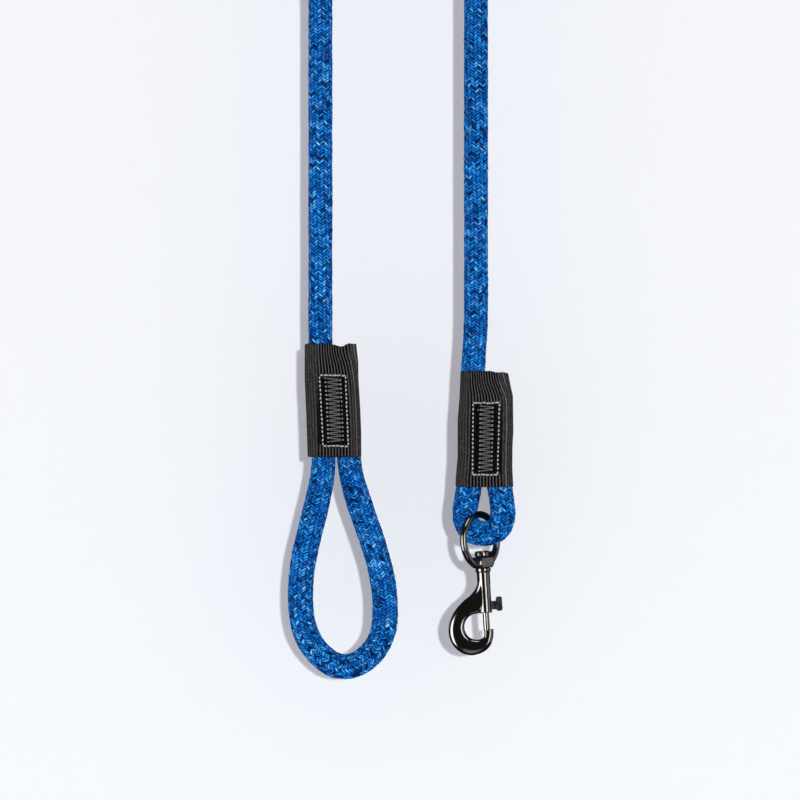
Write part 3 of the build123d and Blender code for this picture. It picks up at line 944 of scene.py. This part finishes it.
def stitch_sleeve(sleeve):
    name = sleeve.name
    box = thread_tubes(f"stitch_{name}_box", box_paths(sleeve, front=True),
                       BOX_THREAD_R, mat_thread)
    zigzag = thread_tubes(f"stitch_{name}_zigzag", zigzag_paths(sleeve, front=True),
                          ZIGZAG_THREAD_R, mat_zigzag)
    back = thread_tubes(f"stitch_{name}_back",
                        box_paths(sleeve, front=False) + zigzag_paths(sleeve, front=False),
                        BACK_THREAD_R, mat_thread)
    for ob, seam in ((box, "box"), (zigzag, "zigzag"), (back, "back")):
        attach(ob, name + "_end")
        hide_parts(f"{name}_{seam}_stitch")


for sleeve in (handle_sleeve, snap_sleeve):
    stitch_sleeve(sleeve)


# =====================================================================
# tools for the snap's castings
# =====================================================================
VOXEL = 0.15            # remeshing grid of the castings


def snap_point(right, away, up):
    """World place of a point in the snap's own frame."""
    return SNAP_ORIGIN + SNAP_RIGHT * right + AWAY * away + SNAP_UP * up


def squared(value, exponent):
    """Signed power: exponents under 1 push a circle towards a rounded square."""
    return math.copysign(abs(value) ** exponent, value)


def lofted(name, sections, capped=True):
    """Gunmetal skin through rings of equal size."""
    sections = np.array(sections)
    rings, count = sections.shape[:2]
    index = np.arange(rings * count).reshape(rings, count)
    near, far = index[:-1], index[1:]
    faces = np.stack([near, np.roll(near, -1, 1), np.roll(far, -1, 1), far], -1)
    faces = faces.reshape(-1, 4).tolist()
    if capped:
        faces += [index[0][::-1].tolist(), index[-1].tolist()]
    return mesh_object(name, sections.reshape(-1, 3), faces, mat_gunmetal)


def revolve(name, profile, count=64):
    """Gunmetal solid about the snap's axis, from (radius, up) pairs that end on the axis."""
    verts = []
    for k in range(count):
        angle = 2 * math.pi * k / count
        verts += [snap_point(r * math.cos(angle), r * math.sin(angle), up) for r, up in profile]
    index = np.arange(len(verts)).reshape(count, len(profile))
    beside = np.roll(index, -1, 0)
    quads = np.stack([index[:, :-1], index[:, 1:], beside[:, 1:], beside[:, :-1]], -1)
    return mesh_object(name, verts, quads.reshape(-1, 4).tolist(), mat_gunmetal, welded=True)


def rod(name, radius, bottom, top, count=40):
    """Plain cylinder on the snap's axis, used as a cutter."""
    return revolve(name, [(0.0, bottom), (radius, bottom), (radius, top), (0.0, top)], count)


def rounded_profile(points, radius):
    """(radius, up) polyline with its corners rounded, four points to a corner."""
    rounded = [points[0]]
    for before, corner, after in zip(points, points[1:], points[2:]):
        before, corner, after = map(np.array, (before, corner, after))
        back, ahead = before - corner, after - corner
        back_len, ahead_len = np.linalg.norm(back), np.linalg.norm(ahead)
        reach = min(radius, back_len * 0.45, ahead_len * 0.45)
        start = corner + back / back_len * reach
        end = corner + ahead / ahead_len * reach
        for t in np.linspace(0, 1, 4):
            rounded.append(tuple((1 - t) ** 2 * start + 2 * t * (1 - t) * corner + t**2 * end))
    rounded.append(points[-1])
    return rounded


def bake_modifiers(ob):
    depsgraph = bpy.context.evaluated_depsgraph_get()
    mesh = bpy.data.meshes.new_from_object(ob.evaluated_get(depsgraph))
    ob.modifiers.clear()
    ob.data = mesh


def cut(target, cutter):
    """Cuts one object out of another and removes the cutter."""
    boolean = target.modifiers.new("cut", "BOOLEAN")
    boolean.operation = "DIFFERENCE"
    boolean.solver = "EXACT"
    boolean.object = cutter
    bake_modifiers(target)
    bpy.data.objects.remove(cutter, do_unlink=True)


def fuse(target, other, smoothing):
    """Fuses two parts into one casting and rounds its edges a little."""
    bm = bmesh.new()
    bm.from_mesh(target.data)
    bm.from_mesh(other.data)
    bm.to_mesh(target.data)
    bm.free()
    bpy.data.objects.remove(other, do_unlink=True)
    remesh = target.modifiers.new("remesh", "REMESH")
    remesh.mode = "VOXEL"
    remesh.voxel_size = VOXEL * MM
    remesh.use_smooth_shade = True
    smooth = target.modifiers.new("smooth", "SMOOTH")
    smooth.factor = 0.5
    smooth.iterations = smoothing
    bake_modifiers(target)
    make_smooth(target.data)
    set_material(target, mat_gunmetal)


def finish_casting(ob, body, replaced):
    set_material(ob, mat_gunmetal)
    make_smooth(ob.data)
    ob.data.set_sharp_from_angle(angle=math.radians(50))
    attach(ob, body)
    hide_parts(replaced)


# =====================================================================
# snap body: hook and barrel
# =====================================================================
# (x, z) outlines of the hook's bow, paired point by point from the barrel to the tip
HOOK_OUTER = [
    (39.7, -528.15), (39.1, -531.15), (37.7, -533.9), (35.4, -536.4), (32.8, -538.45),
    (30.4, -540.9), (28.4, -543.4), (26.85, -546.15), (25.7, -549.15), (25.15, -552.65),
    (25.55, -556.65), (27.0, -560.15), (29.55, -563.15), (32.65, -565.05), (36.4, -565.85),
    (40.4, -565.15), (44.0, -563.3), (46.3, -560.65), (47.2, -558.15), (47.65, -555.65),
    (47.65, -552.55)]
HOOK_INNER = [
    (45.0, -529.15), (45.0, -533.15), (44.7, -537.15), (43.7, -540.9), (42.15, -543.9),
    (39.7, -544.85), (36.9, -545.55), (34.9, -547.05), (33.55, -549.15), (33.1, -551.65),
    (33.5, -553.85), (34.65, -555.85), (36.3, -557.25), (38.0, -557.85), (39.7, -557.95),
    (41.2, -557.65), (42.35, -557.05), (42.9, -556.35), (43.0, -555.65), (43.0, -554.85),
    (43.0, -553.5)]
HOOK_SECTIONS, HOOK_SIDES = 130, 40
# half thickness of the hook at fractions of the way from barrel to tip
HOOK_HALF_DEPTH = ([0, 0.12, 0.3, 0.5, 0.75, 0.93, 1.0], [3.0, 3.0, 2.95, 2.9, 2.75, 2.6, 2.45])

# (radius, up): collar at the top, wall, then the bore from below
BARREL_BOTTOM, BORE_TOP, BARREL_BORE_R = -36.3, -20.0, 1.72
BARREL_PROFILE = [
    (0.0, -13.9), (3.85, -13.9), (3.85, -15.6), (3.30, -15.9), (3.25, BARREL_BOTTOM),
    (BARREL_BORE_R, BARREL_BOTTOM), (BARREL_BORE_R, BORE_TOP), (0.0, BORE_TOP)]
# slot in the barrel's right side
SLOT_TOP, SLOT_BOTTOM = -22.3, -35.2
SLOT_MIDDLE_RIGHT, SLOT_DEPTH, SLOT_WIDTH = 2.75, 4.5, 1.95


def outline_in_snap(points):
    """Curve through (x, z) points, resampled and given as (right, up) in the snap's frame."""
    points = np.array(points, float)
    points = np.vstack([2 * points[0] - points[1], points, 2 * points[-1] - points[-2]])
    curve = []
    for p0, p1, p2, p3 in zip(points, points[1:], points[2:], points[3:]):
        for t in np.linspace(0, 1, 10, endpoint=False):
            curve.append(0.5 * (2 * p1 + (p2 - p0) * t + (2 * p0 - 5 * p1 + 4 * p2 - p3) * t**2
                                + (3 * p1 - p0 - 3 * p2 + p3) * t**3))
    curve.append(points[-2])
    curve = np.array(curve)
    stations = np.linspace(0, len(curve) - 1, HOOK_SECTIONS)
    x, z = (np.interp(stations, np.arange(len(curve)), curve[:, i]) for i in (0, 1))
    offset = np.c_[x, np.zeros_like(x), z] - SNAP_ORIGIN
    return np.c_[offset @ SNAP_RIGHT, offset @ SNAP_UP]


def build_bow():
    outer, inner = outline_in_snap(HOOK_OUTER), outline_in_snap(HOOK_INNER)
    half_depths = np.interp(np.linspace(0, 1, HOOK_SECTIONS), *HOOK_HALF_DEPTH)
    sections = []
    for middle, half, half_depth in zip((outer + inner) / 2, (outer - inner) / 2, half_depths):
        section = []
        for k in range(HOOK_SIDES):
            angle = 2 * math.pi * k / HOOK_SIDES
            outward = math.cos(angle)
            # rounder outside, crisper inside rim
            outward = squared(outward, 0.95 if outward > 0 else 0.38)
            away = squared(math.sin(angle), 0.80)
            section.append(snap_point(middle[0] + half[0] * outward, half_depth * away,
                                      middle[1] + half[1] * outward))
        sections.append(section)
    return lofted("snap_hook", sections)


def build_slot_cutter():
    mesh = bpy.data.meshes.new("slot_tool")
    bm = bmesh.new()
    bmesh.ops.create_cube(bm, size=1.0)
    for vert in bm.verts:
        right = SLOT_MIDDLE_RIGHT + vert.co.x * SLOT_DEPTH
        away = vert.co.y * SLOT_WIDTH
        up = (SLOT_TOP + SLOT_BOTTOM) / 2 + vert.co.z * (SLOT_TOP - SLOT_BOTTOM)
        vert.co = Vector(snap_point(right, away, up) * MM)
    bmesh.ops.recalc_face_normals(bm, faces=bm.faces)
    bm.to_mesh(mesh)
    bm.free()
    return link_object("slot_tool", mesh)


def build_snap_body():
    hook = build_bow()
    barrel = revolve("snap_barrel", rounded_profile(BARREL_PROFILE, 0.35))
    slot_cutter = build_slot_cutter()
    fuse(hook, barrel, smoothing=4)
    # round pocket in the tip, on the barrel's axis
    cut(hook, rod("seat_tool", BARREL_BORE_R, bottom=-45.6, top=-42.0))
    # the bore is opened again after remeshing
    cut(hook, rod("bore_tool", 1.74, bottom=-37.5, top=BORE_TOP))
    cut(hook, slot_cutter)
    finish_casting(hook, "snap", "snap_body")


build_snap_body()

# =====================================================================
# swivel eye: round wire ring fused to its twisted boss, and the rivet through it
# =====================================================================
SWIVEL_RIGHT = turned_right(math.radians(50))
SWIVEL_AWAY = np.cross(SNAP_UP, SWIVEL_RIGHT)
SWIVEL_R, SWIVEL_WIRE_R = 13.0, 1.78
SWIVEL_SECTIONS, SWIVEL_SIDES, BOSS_SIDES = 160, 28, 48
# (up, half width, half depth, shift towards SWIVEL_RIGHT) from the boss's underside up
BOSS_STATIONS = [
    (-13.85, 4.0, 3.0, 0), (-13.5, 4.5, 3.45, 0), (-12.0, 5.3, 3.7, 0.1),
    (-10.2, 5.5, 3.7, 0.3), (-9.0, 5.3, 3.65, 0.6), (-8.45, 4.9, 3.5, 0.9),
    (-8.3, 4.3, 3.2, 1.4), (-8.2, 2.2, 2.9, 4.6), (-7.2, 2.0, 2.5, 5.2),
    (-6.2, 1.5, 2.0, 5.9), (-5.8, 1.0, 1.4, 6.3)]
# (radius, up): shank, then the peened head inside the ring
RIVET_PROFILE = [
    (0.0, -19.3), (1.58, -19.3), (1.58, -8.22), (3.45, -8.2), (3.7, -7.8), (3.7, -6.1),
    (3.35, -5.45), (2.7, -5.3), (2.1, -5.7), (0.0, -5.8)]


def build_ring():
    centre = SNAP_ORIGIN + SNAP_RIGHT * -0.55
    sections = []
    for k in range(SWIVEL_SECTIONS):
        angle = 2 * math.pi * k / SWIVEL_SECTIONS
        outward = math.cos(angle) * SWIVEL_RIGHT + math.sin(angle) * SNAP_UP
        sections.append([centre + outward * (SWIVEL_R + SWIVEL_WIRE_R * math.cos(turn))
                         + SWIVEL_AWAY * SWIVEL_WIRE_R * math.sin(turn)
                         for turn in circle(SWIVEL_SIDES)])
    sections.append(sections[0])
    ring = lofted("swivel_ring", sections, capped=False)
    weld(ring.data)
    return ring


def build_boss():
    corner = 0.22       # exponent: small makes the section nearly a rectangle
    sections = []
    for up, half_width, half_depth, shift in BOSS_STATIONS:
        sections.append([
            SNAP_ORIGIN + SNAP_UP * up
            + SWIVEL_RIGHT * (shift + half_width * squared(math.cos(turn), corner))
            + SWIVEL_AWAY * half_depth * squared(math.sin(turn), corner)
            for turn in circle(BOSS_SIDES)])
    return lofted("boss_part", sections)


def build_swivel():
    eye = build_ring()
    fuse(eye, build_boss(), smoothing=2)
    # hole for the rivet, then a flat underside against the barrel
    cut(eye, rod("hole_tool", 1.78, bottom=-16.0, top=-4.0))
    cut(eye, rod("under_tool", 9.0, bottom=-20.0, top=-13.83, count=24))
    finish_casting(eye, "eye", "swivel_eye")


build_swivel()
rivet = revolve("swivel_rivet", rounded_profile(RIVET_PROFILE, 0.25))
finish_casting(rivet, "snap", "swivel_post")


# =====================================================================
# CAD pieces kept as they are, with new materials and softer edges
# =====================================================================
def dress_cad_piece(name, material, bevel):
    """Gives a CAD piece its material and, unless bevel is 0, rounded edges."""
    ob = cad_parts[name]
    if ob.material_slots:
        for slot in ob.material_slots:
            slot.material = material
    else:
        ob.data.materials.append(material)
    if bevel:
        welding = ob.modifiers.new("weld", "WELD")
        welding.merge_threshold = 1e-6
        soft_edges = ob.modifiers.new("soft_edges", "BEVEL")
        soft_edges.width = bevel * MM
        soft_edges.segments = 3
        soft_edges.limit_method = "ANGLE"
        soft_edges.angle_limit = math.radians(35)


dress_cad_piece("spring_bolt", mat_bolt, bevel=0.12)
dress_cad_piece("thumb_lever", mat_lever, bevel=0.28)
dress_cad_piece("bolt_spring", mat_spring, bevel=0)

# =====================================================================
# stage, in metres
# =====================================================================
WALL_Y = 0.060
FLOOR_Z = -0.70
WALL_TOP = 2.4
STAGE_REACH = 3.0


def paper_material(name):
    """Pale paper that is see-through from behind."""
    material, tree, surface = new_material(name)
    finish_surface(tree, surface, roughness=0.95, specular=0.1,
                   colour=(0.876, 0.940, 0.945, 1))
    behind = add_node(tree, "NewGeometry").outputs["Backfacing"]
    clear = add_node(tree, "BsdfTransparent").outputs[0]
    mix = add_node(tree, "MixShader", {0: behind, 1: surface.outputs[0], 2: clear})
    output = next(node for node in tree.nodes if node.type == "OUTPUT_MATERIAL")
    tree.links.new(mix.outputs[0], output.inputs[0])
    return material


def add_paper(name, material_name, corners):
    material = paper_material(material_name)
    mesh = bpy.data.meshes.new(name)
    mesh.from_pydata(corners, [], [(0, 1, 2, 3)])
    ob = link_object(name, mesh)
    mesh.materials.append(material)
    ob.visible_glossy = False
    ob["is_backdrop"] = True


def floor_corners(near_y, far_y):
    return [(-STAGE_REACH, near_y, FLOOR_Z), (STAGE_REACH, near_y, FLOOR_Z),
            (STAGE_REACH, far_y, FLOOR_Z), (-STAGE_REACH, far_y, FLOOR_Z)]


add_paper("backdrop", "paper_wall",
          [(-STAGE_REACH, WALL_Y, FLOOR_Z), (STAGE_REACH, WALL_Y, FLOOR_Z),
           (STAGE_REACH, WALL_Y, WALL_TOP), (-STAGE_REACH, WALL_Y, WALL_TOP)])
add_paper("floor", "paper_floor", floor_corners(-STAGE_REACH, WALL_Y))
add_paper("floor_back", "paper_floor_b", floor_corners(WALL_Y, STAGE_REACH))

# =====================================================================
# light
# =====================================================================
# Soft boxes that only the reflections see. Direction from the object, angles in degrees
# where the light is full and where it ends, strength, and tall: under 1 stretches it in Z.
SOFT_BOXES = [
    dict(direction=(-0.80, -0.60, -0.16), full=15, edge=20, gain=9.0, tall=0.6),
    dict(direction=(0.47, -0.88, 0.05), full=6, edge=13, gain=7.0, tall=0.45),
    dict(direction=(0.97, -0.10, 0.0), full=16, edge=34, gain=0.75),
    dict(direction=(0.10, -0.45, 0.95), full=12, edge=20, gain=4.0),
    dict(direction=(0.0, -0.75, -0.75), full=8, edge=24, gain=0.9),
    dict(direction=(-0.9, 0.4, 0.2), full=8, edge=16, gain=0.8)]
DARK_STUDIO = 0.05      # strength between the soft boxes


def soft_box(tree, view, direction, full, edge, gain, tall=1.0):
    """Strength of one soft patch of light in the direction looked at."""
    scaled = add_node(tree, "VectorMath", {0: view, 1: (1, 1, tall)}, operation="MULTIPLY")
    unit = add_node(tree, "VectorMath", {0: scaled.outputs[0]}, operation="NORMALIZE")
    aim = Vector((direction[0], direction[1], direction[2] * tall)).normalized()
    facing = add_node(tree, "VectorMath", {0: unit.outputs[0], 1: aim},
                      operation="DOT_PRODUCT")
    strength = add_node(tree, "MapRange", interpolation_type="SMOOTHSTEP", inputs={
        "From Min": math.cos(math.radians(edge)), "From Max": math.cos(math.radians(full)),
        "To Max": gain, "Value": facing.outputs["Value"]})
    return strength.outputs[0]


def build_world():
    scene = bpy.context.scene
    scene.world = scene.world or bpy.data.worlds.new("studio")
    scene.world.use_nodes = True
    tree = scene.world.node_tree
    tree.nodes.clear()
    output = add_node(tree, "OutputWorld")
    # even, pale light for the soft goods and the paper
    even = add_node(tree, "Background", {"Color": (1.020, 0.845, 0.905, 1), "Strength": 0.5425})
    # polished metal sees a darker studio with soft boxes
    mirrored = add_node(tree, "Background", {"Color": (1.0, 0.985, 0.97, 1)})
    view = add_node(tree, "TexCoord").outputs["Generated"]
    strengths = [soft_box(tree, view, **box) for box in SOFT_BOXES]
    total = strengths[0]
    for strength in strengths[1:] + [DARK_STUDIO]:
        total = calculate(tree, "ADD", total, strength)
    tree.links.new(total, mirrored.inputs["Strength"])
    rays = add_node(tree, "LightPath")
    lighting = add_node(tree, "MixShader", {0: rays.outputs["Is Glossy Ray"],
                                            1: even.outputs[0], 2: mirrored.outputs[0]})
    # seen directly, past the paper's edges, the studio is a plain pale grey
    seen = add_node(tree, "Background", {"Color": (0.86, 0.88, 0.91, 1), "Strength": 0.92})
    final = add_node(tree, "MixShader", {0: rays.outputs["Is Camera Ray"],
                                         1: lighting.outputs[0], 2: seen.outputs[0]})
    tree.links.new(final.outputs[0], output.inputs["Surface"])


def add_sun(name, direction, energy, angle):
    light = bpy.data.lights.new(name, "SUN")
    light.energy = energy
    light.angle = angle
    ob = bpy.data.objects.new(name, light)
    ob.rotation_euler = Vector(direction).to_track_quat("-Z", "Y").to_euler()
    ob.visible_glossy = False       # the metal only mirrors the soft boxes
    bpy.context.scene.collection.objects.link(ob)


# metres that the shadow falls to the left and down on the wall behind
SHADOW_LEFT, SHADOW_DOWN = 0.005, 0.0028
build_world()
add_sun("key", direction=(-SHADOW_LEFT / WALL_Y, 1.0, -SHADOW_DOWN / WALL_Y),
        energy=1.52, angle=math.radians(1.35))

# =====================================================================
# camera, level and looking along +Y
# =====================================================================
VIEW_WIDTH = 0.400      # metres seen across at Y = 0
VIEW_CENTRE_X, VIEW_CENTRE_Z = 0.0009, -0.43815
LENS, SENSOR = 300, 36

camera_data = bpy.data.cameras.new("cam")
camera = bpy.data.objects.new("cam", camera_data)
bpy.context.scene.collection.objects.link(camera)
camera_data.lens = LENS
camera_data.sensor_width = SENSOR
camera_data.clip_start = 0.05
camera_data.clip_end = 20
camera.location = (VIEW_CENTRE_X, -VIEW_WIDTH * LENS / SENSOR, VIEW_CENTRE_Z)
camera.rotation_euler = (math.radians(90), 0, 0)
bpy.context.scene.camera = camera
bpy.context.scene.view_settings.view_transform = "Standard"


# =====================================================================
# sizes
# =====================================================================
def plain(box):
    """Bounds as plain lists of floats."""
    # the bounds may be a pair of points or a flat row of numbers
    try:
        return [[float(c) for c in point] for point in box]
    except TypeError:
        return [float(c) for c in box]


visual_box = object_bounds()
{"cad": plain(cad_box), "visual": plain(visual_box)}
